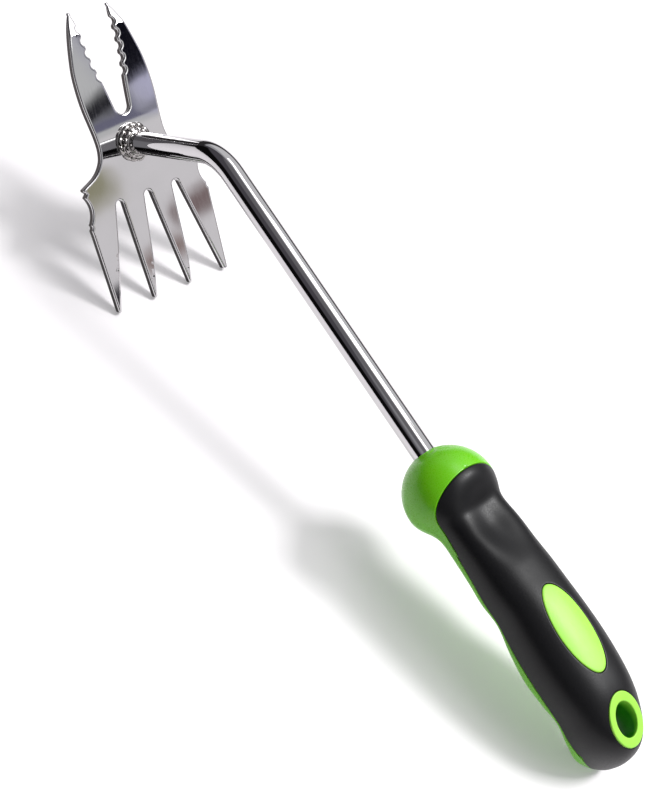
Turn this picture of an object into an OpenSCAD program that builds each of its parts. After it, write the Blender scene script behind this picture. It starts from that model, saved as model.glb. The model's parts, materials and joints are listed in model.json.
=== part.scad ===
// Hand weeder. One stainless plate is cut into a two-prong fork at the top and a four-tine
// rake at the bottom. It is welded to a bent round rod, and the rod's crimped end is moulded
// into a two-colour handle with a bulb at the front and a hang hole at the back.
// The tool rests on its tine tips and the tail of its handle.

/* [Head plate] */
// Thickness of the stainless plate
plate_t = 4; // [3:0.5:5]
// From the weld down to the tine tips
rake_len = 72.4; // [68:0.2:78]
// From the weld up to the fork points
fork_len = 61.2; // [60:0.2:66]
// Half width of the rake at its outer edge
rake_half = 32.3; // [31.5:0.1:34]
// Distance between tine tips
tine_pitch = 20.2; // [19.6:0.1:20.6]
// How far the fork is bent back from the rake, in degrees
fork_lean = 4.8; // [1:0.2:8]
// Angle between the rod and the front normal of the plate
blade_angle = 52.8; // [50:0.1:56]

/* [Rod] */
// Diameter of the rod
rod_d = 10; // [9:0.5:11]
// From the weld to the corner of the bend
stub_len = 68; // [60:1:76]
// How far the rod turns in its bend, in degrees
bend_angle = 48.9; // [45:0.1:52]
// Radius of the bend at the rod's centre
bend_r = 25; // [18:1:32]
// Outer diameter of the weld bead on the plate
weld_d = 18; // [16:0.5:20]

/* [Handle] */
// From the corner of the bend to the centre of the bulb
handle_x = 170; // [160:1:190]
// Radius of the bulb
bulb_r = 19.3; // [18:0.1:20]
// Thickness of the soft grip cover
cover_t = 2.4; // [1.8:0.1:2.8]
// Depth of the thumb dish behind the bulb
dish_depth = 4.5; // [0:0.5:5]
// Length of the hang hole
hole_l = 13.5; // [12:0.5:15]
// Width of the hang hole
hole_w = 10; // [8:0.5:11]
// Width of the ring of the hang eyelet
eyelet_ring = 2.9; // [2:0.1:3]
// Length of the oval badge
badge_l = 37.6; // [30:0.1:40]
// Width of the oval badge
badge_w = 15.4; // [12:0.1:16]

/* [Hidden] */
$fn = 64;
steel = "#C9CBCE";
lime = "#7CD228";
light_lime = "#B9F36B";
soft_black = "#222226";

// ---- numbers shared by several pieces ----
// All pieces are drawn with the corner of the rod's bend at the origin and the handle along
// +X. resting() then turns and lifts them on to the floor.

// cubic curve through the rows of a table: x is in column 0, the value in column c
function seg(x, t, i = 0) = (i >= len(t) - 2 || x < t[i + 1][0]) ? i : seg(x, t, i + 1);
function slope(t, j, c) = let (a = max(j - 1, 0), b = min(j + 1, len(t) - 1))
    (t[b][c] - t[a][c]) / (t[b][0] - t[a][0]);
function along(x, t, c) = let (i = seg(x, t), h = t[i + 1][0] - t[i][0], u = (x - t[i][0]) / h)
    (2 * pow(u, 3) - 3 * pow(u, 2) + 1) * t[i][c] + (pow(u, 3) - 2 * pow(u, 2) + u) * h * slope(t, i, c)
    + (3 * pow(u, 2) - 2 * pow(u, 3)) * t[i + 1][c] + (pow(u, 3) - pow(u, 2)) * h * slope(t, i + 1, c);
function clamp(x, lo, hi) = min(max(x, lo), hi);
function ease(x, lo, hi) = let (u = clamp((x - lo) / (hi - lo), 0, 1)) u * u * (3 - 2 * u);

// ---- head plate ----
// The plate's own frame: x out of its front face, z up towards the fork, weld at the origin.
bend_lo = -8;
bend_hi = 12;
bend_sheet_r = (bend_hi - bend_lo) / (fork_lean * PI / 180);
// a point at arc length l on the plate's side view, off in front of its front face
function sheet(l, off) = let (a = clamp((l - bend_lo) / (bend_hi - bend_lo), 0, 1) * fork_lean,
                              rest = l < bend_lo ? l - bend_lo : max(l - bend_hi, 0))
    [(bend_sheet_r + off) * cos(a) - bend_sheet_r - rest * sin(a),
     bend_lo + (bend_sheet_r + off) * sin(a) + rest * cos(a)];
// from the plate's frame to the rod's, as [x, z]
function from_plate(p) = [p[0] * cos(blade_angle) - p[1] * sin(blade_angle) - stub_len * cos(bend_angle),
                          p[0] * sin(blade_angle) + p[1] * cos(blade_angle) - stub_len * sin(bend_angle)];
tine_foot = from_plate([-plate_t, -rake_len]);
fork_end_back = sheet(bend_hi, -plate_t);
fork_back_point = from_plate([fork_end_back[0] - (fork_len - fork_end_back[1]) * tan(fork_lean), fork_len]);

// Half outline of the fork and waist: [height, half width]
side_rows = [[-13, 31.2], [-9.5, 24], [-5, 19.6], [0, 17.8], [6, 17.6], [12, 18.1], [20, 18.8],
             [28, 18.8], [36, 18.1], [45, 16.1], [52, 14.1], [57, 12.2], [60.2, 10.6]];
// Half outline of the fork's slot: [height, half width]
slot_rows = [[17, 4.1], [24, 5.1], [31, 6.3], [41, 8.0], [51, 8.7], [57, 9.0], [60.2, 9.6]];
slot_r = 4.1;
tooth_pitch = 5.4;
tooth_rows = 4;
gap_r = 2.1;
gap_top = -22.8;
gap_y = 15.6;
tip_r = 1.25;

// ---- handle surface ----
// Sections of the handle behind the bulb: [distance behind the bulb's centre, top, height of
// the widest point, bottom, half width]
sections = [[-5, 10, 0, -10, 12], [8, 14.4, 0.4, -9.1, 14.1], [20, 15.6, 1.6, -9.5, 15.4],
            [33, 16, 2, -10.3, 15.8], [42, 16.8, 2, -10.7, 16.3], [52, 17.8, 2.2, -9.3, 16.2],
            [63, 18, 0.4, -12, 17.2], [75, 17.6, -0.7, -14.6, 17.8], [86, 16.9, -0.8, -14, 17.3],
            [95, 15.8, -1.5, -12.6, 16.4], [104, 13.2, -5.2, -17, 15.8], [112, 11, -10, -22.4, 15],
            [122, 7.5, -12, -24, 12]];
// Height of the line where the soft cover meets the hard body
parting_rows = [[20, 1.9], [50, -0.5], [80, -1.5], [95, -4], [110, -9], [116, -15], [122, -25]];
bulb_drop = -0.4;
tail_x = 121.7;
tail_round = 100;
tail_powers = [6, 1.8, 5]; // how squarely the top, the sides and the bottom turn in at the tail
top_power = 2.6;
belly_power = 2.15;
blend_k = 0.28;
bulb_fall = 14.8; // how far behind its centre the bulb falls away into the grip
function smooth_max(a, b) = max(a, b) + ln(1 + exp(-blend_k * abs(a - b))) / blend_k;
function bulb_at(s) = s < 0 ? sqrt(max(pow(bulb_r, 2) - s * s, 0))
                             : bulb_r * exp(-pow(s / bulb_fall, 2.25));
function tail(s, k) = sqrt(max(1 - pow(clamp((s - tail_round) / (tail_x - tail_round), 0, 1),
                                       tail_powers[k]), 0));
function middle(s) = bulb_drop + (along(s, sections, 2) - bulb_drop) * ease(s, 0, 14);
function reach(s, size) = let (b = bulb_at(s)) b + (smooth_max(b, size) - b) * ease(s, 0, 8);
function up(s) = reach(s, along(s, sections, 1) - along(s, sections, 2));
function down(s) = reach(s, along(s, sections, 2) - along(s, sections, 3));
function half(s) = reach(s, along(s, sections, 4));
// half width of the thumb dish, wide at the bulb and narrower behind it
function dish_w(s) = 11 - 3 * ease(s, 8, 28);
function dish(s, y) = dish_depth * ease(s, -3, 11) * (1 - ease(s, 18, 38)) * exp(-pow(y / dish_w(s), 2));
// a point on section s at angle a from the top, pulled in by depth
function skin(s, a, depth = 0) =
    let (p = 2 + ((abs(a) < 90 ? top_power : belly_power) - 2) * ease(s, 0, 20),
         c = cos(a), n = sign(sin(a)) * pow(abs(sin(a)), 2 / p), m = sign(c) * pow(abs(c), 2 / p),
         y0 = half(s) * n, z0 = (c > 0 ? up(s) : down(s)) * m,
         k = 1 - depth / max(norm([y0, z0]), 1),
         y = k * y0 * tail(s, 1), z = k * z0 * tail(s, c > 0 ? 0 : 2),
         back = depth * pow(clamp((s - tail_round) / (tail_x - tail_round), 0, 1), 2))
    [handle_x + s - back, y, middle(s) + z - (c > 0 ? dish(s, y) : 0)];

// angle from the top at which the cover ends
cover_from = -4;
function edge_angle(s) = s < cover_from ? 4 :
    s < 22 ? max(88 * sqrt(1 - pow(1 - (s - cover_from) / (22 - cover_from), 2)), 7) :
    let (h = along(s, parting_rows, 1) - middle(s))
    clamp(h > 0 ? acos(pow(min(h / (up(s) * tail(s, 0)), 1), top_power / 2))
                : 180 - acos(pow(min(-h / (down(s) * tail(s, 2)), 1), belly_power / 2)), 60, 178);
edge_gap = 0.5; // half the width of the step at the cover's edge, in degrees

// distances behind the bulb's centre at which the handle is sampled
bulb_steps = [for (i = [1 : 8]) -bulb_r * cos(i * 9.5)];
front_steps = [for (s = bulb_steps) if (s < cover_from - 1) s];
cover_steps = concat([cover_from + 0.1, -3.4, -2, 0, 2], [for (s = [4.5 : 2.9 : 98]) s],
                     [for (i = [1 : 13]) tail_x - (tail_x - 99.8) * pow(1 - i / 13.2, 1.5)]);
body_steps = concat([-bulb_r + 0.02], front_steps, [cover_from], cover_steps);
top_n = 26;
belly_n = 14;
cover_angles = [for (j = [0 : top_n]) -1 + 2 * j / top_n];
belly_angles = [for (j = [0 : belly_n]) j / belly_n];
function body_ring(s) = let (e = edge_angle(s), d = s <= cover_from ? 0 : cover_t) concat(
    [for (j = cover_angles) skin(s, j * (e - edge_gap), d)],
    [for (j = belly_angles) skin(s, e + edge_gap + j * (360 - 2 * (e + edge_gap)))]);
function cover_ring(s) = let (e = edge_angle(s)) concat(
    [for (j = cover_angles) skin(s, j * (e - edge_gap), cover_t)],
    [for (j = cover_angles) skin(s, -j * (e + edge_gap))]);

// Resting place: the floor touches the tine tips and the lowest point of the tail.
tail_line = [for (s = cover_steps) if (s > 60) [skin(s, 180)[0], skin(s, 180)[2]]];
rest_tilt = min([for (p = tail_line) atan2(p[1] - tine_foot[1], p[0] - tine_foot[0])]);
function floor_x(p) = p[0] * cos(rest_tilt) + p[1] * sin(rest_tilt);
function floor_z(p) = -p[0] * sin(rest_tilt) + p[1] * cos(rest_tilt);
back_x = max([for (s = cover_steps) if (s > 60) for (a = [0, 180])
    let (p = skin(s, a)) floor_x([p[0], p[2]])]);
middle_x = (floor_x(fork_back_point) + back_x) / 2;
lift = -floor_z(tine_foot);

module resting() {
    translate([-middle_x, 0, lift]) rotate([0, rest_tilt, 0]) children();
}

// from the plate's frame to the rod's
module on_plate() {
    translate([-stub_len * cos(bend_angle), 0, -stub_len * sin(bend_angle)])
        rotate([0, -blade_angle, 0]) children();
}

// a solid from equal rings of points, closed by a flat cap or a fan at each end
module loft(rings, pinhole = false) {
    n = len(rings[0]);
    last = len(rings) - 1;
    points = [for (r = rings) for (p = r) p];
    sides = [for (i = [0 : last - 1]) for (j = [0 : n - 1])
        let (a = i * n + j, b = i * n + (j + 1) % n) each [[a, b, b + n], [a, b + n, a + n]]];
    front = [for (j = [n - 1 : -1 : 0]) j];
    back = [for (j = [0 : n - 1]) last * n + j];
    half_n = n / 2;
    strip = [for (j = [0 : half_n - 2]) let (a = last * n + j, b = last * n + n - 1 - j)
        each [[a, a + 1, b - 1], [a, b - 1, b]]];
    polyhedron(points, concat(sides, [front], pinhole ? strip : [back]));
}

// ---- head plate ----

// closed outline from a half outline, mirrored about the centre line
function both_sides(rows) = concat([for (r = rows) [r[1], r[0]]],
                                   [for (i = [len(rows) - 1 : -1 : 0]) [-rows[i][1], rows[i][0]]]);

module plate_outline() {
    steps = [for (z = [-13 : 1.6 : 59]) [z, along(z, side_rows, 1)]];
    foot = 1.5 * tine_pitch + tip_r;
    tip_z = -rake_len + tip_r;
    difference() {
        union() {
            polygon(both_sides(concat(steps, [[60.2, 10.6]])));
            for (side = [-1, 1]) translate([side * 9.95, 60.3]) circle(0.9);
            polygon(both_sides([[tip_z, foot], [-34, rake_half + 0.3], [-29.5, rake_half + 0.7],
                                [-13, 31.2]]));
        }
        rake_gaps(tip_z);
        fork_slot();
        for (side = [-1, 1]) edge_nicks(side);
    }
    for (k = [-1.5 : 1.5]) translate([k * tine_pitch, tip_z]) circle(tip_r);
}

// The three gaps between the tines, each with a round top
module rake_gaps(tip_z) {
    foot = tine_pitch / 2 - tip_r;
    polygon(both_sides([[tip_z - 1, foot + 0.1], [gap_top - gap_r, gap_r]]));
    translate([0, gap_top - gap_r]) circle(gap_r);
    for (side = [-1, 1]) {
        translate([side * gap_y, gap_top - gap_r]) circle(gap_r);
        polygon([[side * (gap_y - gap_r), gap_top - gap_r], [side * (gap_y + gap_r), gap_top - gap_r],
                 [side * (1.5 * tine_pitch - tip_r), tip_z - 0.1],
                 [side * (tine_pitch / 2 + tip_r), tip_z - 0.1]]);
    }
}

// The fork's slot, with a row of scallops cut into each prong for gripping stalks
module fork_slot() {
    steps = [for (z = [17 : 2.4 : 58]) [z, along(z, slot_rows, 1)]];
    polygon(both_sides(concat(steps, [[60.2, 9.25], [64, 9.5]])));
    translate([0, 17.3]) circle(slot_r);
    for (side = [-1, 1], i = [0 : tooth_rows]) {
        z = 31.5 + tooth_pitch * i;
        translate([side * (along(z, slot_rows, 1) - 0.6), z]) circle(1.9);
    }
}

// A small notch, a shallow hollow and a round bite on each flank of the rake
module edge_nicks(side) {
    translate([side * 31.8, -15.2]) rotate(45) square(2.6, center = true);
    translate([side * 40.4, -22.4]) circle(10.6);
    translate([side * 33.6, -30.2]) circle(1.6);
}

// A flat grind on a tine's front, from full width at the tip to nothing at grind_len
grind_len = 26;
module grind(y_tip, y_edge) {
    aim = atan2(y_edge - (y_tip - tip_r), grind_len);
    translate([0, y_tip - tip_r, -rake_len]) rotate([-aim, 0, 0]) rotate([0, 0, 38])
        translate([0, 0, -2]) cube([5, 5.5, grind_len + 3]);
}

side_steps = concat([-80], [for (l = [bend_lo : 2.5 : bend_hi]) l], [70]);
module head_plate() {
    bevel = sheet(51.5, 0);
    color(steel) resting() on_plate() difference() {
        intersection() {
            rotate([90, 0, 90]) translate([0, 0, -12]) linear_extrude(18) plate_outline();
            rotate([90, 0, 0]) translate([0, 0, -40]) linear_extrude(80)
                polygon(concat([for (l = side_steps) sheet(l, 0)],
                               [for (i = [len(side_steps) - 1 : -1 : 0]) sheet(side_steps[i], -plate_t)]));
        }
        // chisel bevel on the front of both prongs
        translate([bevel[0], -20, bevel[1]]) rotate([0, -fork_lean - 17, 0]) cube([12, 40, 20]);
        for (k = [-1.5, -0.5, 0.5]) grind(k * tine_pitch, k * tine_pitch + 5 - k);
    }
}

// ---- rod ----

// a straight bar of the rod along +X
module bar(from, to) {
    translate([from, 0, 0]) rotate([0, 90, 0]) cylinder(h = to - from, d = rod_d);
}

tang_end = 78;
crimps = [34, 62];
module crimp_wings() {
    for (s = crimps) translate([handle_x + s - 5, -7, -2.2]) cube([10, 14, 4.4]);
}

// The bend is a hair thinner than the straight parts, as bending leaves it, and laps into both
bend_thin = 0.1;
bend_lap = 1;
module rod() {
    corner = bend_r * tan(bend_angle / 2);
    color(steel) resting() difference() {
        union() {
            bar(corner, handle_x + tang_end);
            crimp_wings();
            translate([corner, 0, -bend_r]) rotate([90, 0, 0]) rotate([0, 0, 90 - bend_lap])
                rotate_extrude(angle = bend_angle + 2 * bend_lap)
                translate([bend_r, 0]) circle(d = rod_d - bend_thin);
            rotate([0, 180 - bend_angle, 0]) bar(corner, stub_len + 6);
        }
        on_plate() translate([-20, -20, -20]) cube([20, 40, 40]);
    }
}

module weld_bead() {
    out = weld_d / 2;
    in = rod_d / 2;
    color(steel) resting() difference() {
        translate([-stub_len * cos(bend_angle), 0, -stub_len * sin(bend_angle)])
            rotate([0, 90 - bend_angle, 0]) rotate_extrude()
            polygon([[in, -1.5], [out, -1.5], [out, 0.6], [out - 0.5, 1.7], [out - 1.7, 2.6],
                     [in + 1.3, 4], [in + 0.4, 4.6], [in, 4.7]]);
        on_plate() translate([-20, -20, -20]) cube([20, 40, 40]);
    }
}

// ---- handle ----

// a flat-sided bar with round edges along +X
module core_bar(from, to, r, w) {
    for (side = [-1, 1])
        translate([handle_x + from, side * w, 0]) rotate([0, 90, 0]) cylinder(h = to - from, r = r);
    translate([handle_x + from, -w, -r]) cube([to - from, 2 * w, 2 * r]);
}

core_from = -6;
core_to = 84;
module core_shape() {
    core_bar(core_from, core_to, 7, 3);
    for (s = [40, 51, 62, 73]) core_bar(s, s + 4, 8.5, 4);
    for (s = [2, 14, 26]) core_bar(s, s + 4, 7, 5);
}

// an oval bar standing along +Z, its centre at distance s behind the bulb's
module oval(s, l, w, z0, z1) {
    ring = [for (a = [0 : 7.5 : 352.5]) [l / 2 * cos(a), w / 2 * sin(a)]];
    translate([handle_x + s, 0, z0]) linear_extrude(z1 - z0) polygon(ring);
}

hole_s = 106;
// everything above the plane of the eyelet's ring, lowered by depth
ring_slope = 21;
ring_height = 11.9;
module above_ring(depth) {
    translate([handle_x + hole_s, 0, ring_height - depth]) rotate([0, ring_slope, 0])
        translate([-30, -20, 0]) cube([60, 40, 40]);
}

ring_end = 0.85; // how much wider the ring is at its two ends
ring_l = hole_l + 2 * (eyelet_ring + ring_end);
ring_w = hole_w + 2 * eyelet_ring;
barrel_wall = 1.4;
barrel_foot = -9;
ring_t = 2.6;

module hang_eyelet() {
    color(light_lime) resting() difference() {
        union() {
            difference() {
                oval(hole_s, ring_l, ring_w, -5, 30);
                below_ring();
            }
            oval(hole_s, hole_l + 2 * barrel_wall, hole_w + 2 * barrel_wall, barrel_foot, 30);
        }
        above_ring(0);
        oval(hole_s, hole_l, hole_w, barrel_foot - 1, 30);
    }
}

// everything below the underside of the eyelet's ring
module below_ring() {
    translate([handle_x + hole_s, 0, ring_height - ring_t]) rotate([0, ring_slope, 0])
        translate([-30, -20, -40]) cube([60, 40, 40]);
}

module handle_body() {
    color(lime) resting() difference() {
        loft([for (s = body_steps) body_ring(s)]);
        bar(handle_x - bulb_r - 1, handle_x + core_from);
        core_shape();
        oval(hole_s, hole_l, hole_w, -30, 30);
        oval(hole_s, hole_l + 2 * barrel_wall, hole_w + 2 * barrel_wall, barrel_foot, 30);
        intersection() {
            oval(hole_s, ring_l, ring_w, -5, 30);
            above_ring(ring_t);
        }
        oval(badge_s, badge_l, badge_w, badge_floor, 30);
    }
}

module tang_core() {
    color("#4A4A4E") resting() difference() {
        core_shape();
        bar(handle_x + core_from - 1, handle_x + tang_end);
        crimp_wings();
    }
}

module grip_cover() {
    color(soft_black) resting() difference() {
        loft([for (s = cover_steps) cover_ring(s)], pinhole = true);
        oval(hole_s, ring_l + 0.2, ring_w + 0.2, 0, 30);
        oval(badge_s, badge_l + 0.3, badge_w + 0.3, 0, 30);
    }
}

badge_s = 67.6;
badge_floor = 13.6;
badge_proud = 0.3;

// height of the cover's surface above a point of the handle
function cover_z(s, y) = middle(s) + up(s) * pow(1 - pow(abs(y) / half(s), top_power), 1 / top_power);

// A domed oval button: rings of its top, from the rim in to a small flat at the crown
module oval_badge() {
    turns = [for (a = [0 : 7.5 : 352.5]) a];
    function rim(k, z) = [for (a = turns) let (s = badge_s + k * badge_l / 2 * cos(a),
                                               y = k * badge_w / 2 * sin(a))
        [handle_x + s, y, z ? badge_floor : cover_z(s, y) + badge_proud * (1 - k * k)]];
    color(light_lime) resting()
        loft(concat([rim(1, true)], [for (k = [1, 0.85, 0.6, 0.3, 0.02]) rim(k, false)]));
}

head_plate();
rod();
weld_bead();
tang_core();
handle_body();
grip_cover();
oval_badge();
hang_eyelet();
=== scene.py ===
import json
import math
import bmesh
import bpy
import numpy as np
from mathutils import Matrix, Vector
from mathutils.geometry import delaunay_2d_cdt


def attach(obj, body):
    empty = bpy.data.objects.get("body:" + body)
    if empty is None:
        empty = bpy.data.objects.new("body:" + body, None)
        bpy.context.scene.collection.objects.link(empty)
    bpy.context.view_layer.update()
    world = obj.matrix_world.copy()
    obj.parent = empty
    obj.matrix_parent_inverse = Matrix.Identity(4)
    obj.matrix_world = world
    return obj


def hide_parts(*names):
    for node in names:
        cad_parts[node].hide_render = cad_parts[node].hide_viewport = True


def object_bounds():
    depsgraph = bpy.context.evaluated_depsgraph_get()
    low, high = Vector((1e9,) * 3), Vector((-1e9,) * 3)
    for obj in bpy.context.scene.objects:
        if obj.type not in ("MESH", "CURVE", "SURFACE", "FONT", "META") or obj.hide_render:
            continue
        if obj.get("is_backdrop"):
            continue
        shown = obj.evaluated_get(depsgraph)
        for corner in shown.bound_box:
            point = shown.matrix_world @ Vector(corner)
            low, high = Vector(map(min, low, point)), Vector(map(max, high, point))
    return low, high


# Short hand weeder: a polished stainless head, half fork and half rake, welded to a bent round
# rod with a moulded two-colour handle. It rests on its tine tips and the tail of its handle.
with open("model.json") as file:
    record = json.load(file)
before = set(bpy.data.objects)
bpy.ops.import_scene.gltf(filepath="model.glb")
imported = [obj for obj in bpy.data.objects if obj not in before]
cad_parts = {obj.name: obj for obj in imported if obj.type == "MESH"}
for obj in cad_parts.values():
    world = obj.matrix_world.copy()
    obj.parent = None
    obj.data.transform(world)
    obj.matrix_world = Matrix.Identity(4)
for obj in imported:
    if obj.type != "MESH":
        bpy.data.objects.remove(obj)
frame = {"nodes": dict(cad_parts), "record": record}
cad_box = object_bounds()

# ---- How the tool lies ----
# Every piece is drawn in millimetres from the corner of the rod's bend: X runs down the straight
# rod to the handle, Z square to it and up. The rack clip's place gives that corner and direction.
CLIP_FROM_CORNER = 80.0
clip = next(m for m in frame["record"]["mounts"] if m["name"] == "rack_clip")
along_rod = np.array(clip["axis"])
above_rod = np.array([-along_rod[2], 0.0, along_rod[0]])
tool_axes = np.array([along_rod, [0.0, 1.0, 0.0], above_rod])
bend_corner = np.array(clip["pos_m"]) - along_rod * CLIP_FROM_CORNER / 1000


def placed(points):
    """Metres in the shared frame, from millimetres in the rod's."""
    return bend_corner + np.asarray(points, float) @ tool_axes / 1000


# ---- Camera ----
# A short portrait lens from above the handle's near side, rolled so that the tool runs
# corner to corner.
EYE = (194.9, -279.7, 406.5)
EYE_LINE = (-0.1664, 0.5259, -0.8341)
EYE_ROLL = 18.3
EYE_LENS, EYE_SENSOR = 56.1, 36
eye = bpy.data.objects.new("eye", bpy.data.cameras.new("eye"))
eye.data.lens = EYE_LENS
eye.data.sensor_width = EYE_SENSOR
bpy.context.scene.collection.objects.link(eye)
facing = Vector(np.array(EYE_LINE) @ tool_axes).to_track_quat("-Z", "Y").to_matrix().to_4x4()
eye.matrix_world = (Matrix.Translation(placed(EYE)) @ facing
                    @ Matrix.Rotation(math.radians(EYE_ROLL), 4, "Z"))
bpy.context.scene.camera = eye

# ---- Head plate ----
# One stamped and bent plate of 4 mm stainless steel: a two-prong fork with gripping scallops
# above the weld, a four-tine rake below it. Its edges are tumbled round and all of it is
# polished; the prongs end in a chisel bevel and the tines in a side grind.
PLATE_T = 4.0
BLADE_ANGLE = math.radians(52.8)
FORK_LEAN = math.radians(4.8)
FOLD_LO, FOLD_HI = -8.0, 12.0
STUB_LEN = 68.0
BEND_ANGLE = math.radians(48.9)
RAKE_LEN = 72.4
TINE_PITCH = 20.2
TINE_TIP_R = 1.25
GAP_R, GAP_TOP, GAP_Y = 2.1, -22.8, 15.6
EDGE_R, BACK_EDGE_R = 0.75, 0.5
CREST_W, CREST_Z, CREST_R = 9.95, 60.3, 0.9
SLOT_R, SLOT_Z = 4.1, 17.3
SCALLOPS, SCALLOP_R, SCALLOP_FROM, SCALLOP_PITCH, SCALLOP_SUNK = 5, 1.9, 31.5, 5.4, 0.6
SHOULDER_Y, SHOULDER_Z, HEEL_Y, HEEL_Z, FLANK_END = 31.2, -13.0, 33.0, -29.5, (32.6, -34.0)
# bites in each flank: how far out and how high the centre of its circle is, and the radius
FLANK_HOLLOW = (40.4, -22.4, 10.6)
FLANK_HOOK = (33.6, -30.2, 1.6)
FLANK_NOTCH = (29.96, -15.2)
fork_side = np.array([(-13, 31.2), (-9.5, 24), (-5, 19.6), (0, 17.8), (6, 17.6), (12, 18.1), (20, 18.8),
                      (28, 18.8), (36, 18.1), (45, 16.1), (52, 14.1), (57, 12.2), (60.2, 10.6)])
slot_side = np.array([(17, 4.1), (24, 5.1), (31, 6.3), (41, 8.0), (51, 8.7), (57, 9.0), (60.2, 9.6)])


def curve(x, rows, column=1):
    """Smooth curve through the rows of a table, from its first column to another."""
    t, v = rows[:, 0], rows[:, column]
    x = np.asarray(x, float)
    slopes = np.empty(len(t))
    slopes[1:-1] = (v[2:] - v[:-2]) / (t[2:] - t[:-2])
    slopes[0] = (v[1] - v[0]) / (t[1] - t[0])
    slopes[-1] = (v[-1] - v[-2]) / (t[-1] - t[-2])
    i = np.clip(np.searchsorted(t, x, "right") - 1, 0, len(t) - 2)
    h = t[i + 1] - t[i]
    u = (x - t[i]) / h
    return ((2 * u**3 - 3 * u**2 + 1) * v[i] + (u**3 - 2 * u**2 + u) * h * slopes[i]
            + (3 * u**2 - 2 * u**3) * v[i + 1] + (u**3 - u**2) * h * slopes[i + 1])


def ease(x, lo, hi):
    """0 to 1 between lo and hi, level at both ends."""
    u = np.clip((x - lo) / (hi - lo), 0, 1)
    return u * u * (3 - 2 * u)


def arc(cx, cz, r, start, end, step=0.35):
    """Points of an arc from one angle to another, in degrees from +Y."""
    n = max(int(abs(math.radians(end - start)) * r / step), 2)
    a = np.radians(np.linspace(start, end, n + 1))
    return np.column_stack([cx + r * np.cos(a), cz + r * np.sin(a)])


def plate_half():
    """Right half of the plate's outline, from the bottom of the slot round to the middle gap."""
    z = np.arange(17.6, 59.6, 0.3)
    bite = np.zeros(len(z))
    for k in range(SCALLOPS):
        far = np.maximum(SCALLOP_R**2 - (z - SCALLOP_FROM - SCALLOP_PITCH * k) ** 2, SCALLOP_SUNK**2)
        bite = np.maximum(bite, np.sqrt(far) - SCALLOP_SUNK)
    bite = np.convolve(np.pad(bite, 1, "edge"), [0.25, 0.5, 0.25], "valid")
    slot = np.column_stack([curve(z, slot_side) + bite, z])
    z = np.arange(59.9, SHOULDER_Z, -0.7)
    outer = np.column_stack([curve(z, fork_side), z])
    z = np.concatenate([np.arange(SHOULDER_Z, -32.4, -0.25), np.arange(-32.6, -34, -0.6)])
    plain = np.interp(-z, [-SHOULDER_Z, -HEEL_Z, -FLANK_END[1]], [SHOULDER_Y, HEEL_Y, FLANK_END[0]])
    bites = [plain, FLANK_NOTCH[0] + np.abs(z - FLANK_NOTCH[1])]
    for out, up_at, r in (FLANK_HOLLOW, FLANK_HOOK):
        round_bite = out - np.sqrt(np.maximum(r**2 - (z - up_at) ** 2, 0))
        bites.append(np.where(np.abs(z - up_at) < r, round_bite, plain))
    flank = np.column_stack([np.minimum.reduce(bites), z])
    tip_z = -RAKE_LEN + TINE_TIP_R
    gap_z = GAP_TOP - GAP_R

    def edge(a, b):
        n = max(int(math.dist(a, b) / 0.7), 2)
        return np.linspace(a, b, n + 1)[1:-1]

    crest = arc(CREST_W, CREST_Z, CREST_R, 190, -10, 0.2)
    parts = [arc(0, SLOT_Z, SLOT_R, -90, 0), slot, crest, outer, flank]
    start = FLANK_END
    for tine, gap_y, gap_end in ((1.5, GAP_Y, 180), (0.5, 0, 90)):
        tip = tine * TINE_PITCH
        parts += [edge(start, (tip + TINE_TIP_R, tip_z)), arc(tip, tip_z, TINE_TIP_R, 0, -180),
                  edge((tip - TINE_TIP_R, tip_z), (gap_y + GAP_R, gap_z)),
                  arc(gap_y, gap_z, GAP_R, 0, gap_end)]
        start = (gap_y - GAP_R, gap_z)
    return np.concatenate(parts)


def both_halves(half):
    """Closed outline from its right half, which starts and ends on the middle line."""
    return np.concatenate([half, half[-2:0:-1] * [-1, 1]])


def to_edges(points, loops, chunk=2000):
    """Distance from each point to the nearest edge of the loops."""
    a = np.concatenate(loops)
    b = np.concatenate([np.roll(loop, -1, 0) for loop in loops])
    run = b - a
    far = [np.zeros(0)]
    for i in range(0, len(points), chunk):
        rel = points[i:i + chunk, None] - a
        u = np.clip((rel * run).sum(2) / np.maximum((run**2).sum(1), 1e-12), 0, 1)
        far.append(np.sqrt(((rel - u[..., None] * run) ** 2).sum(2)).min(1))
    return np.concatenate(far)


def inside(points, loops):
    """Which points lie in the first loop and in none of the others."""
    keep = np.zeros(len(points), bool)
    for loop in loops:
        a, b = loop, np.roll(loop, -1, 0)
        crosses = (a[:, 1] > points[:, 1:2]) != (b[:, 1] > points[:, 1:2])
        rise = np.where(b[:, 1] == a[:, 1], 1e-12, b[:, 1] - a[:, 1])
        hit = points[:, :1] < a[:, 0] + (b[:, 0] - a[:, 0]) * (points[:, 1:2] - a[:, 1]) / rise
        keep ^= (crosses & hit).sum(1) % 2 == 1
    return keep


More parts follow.
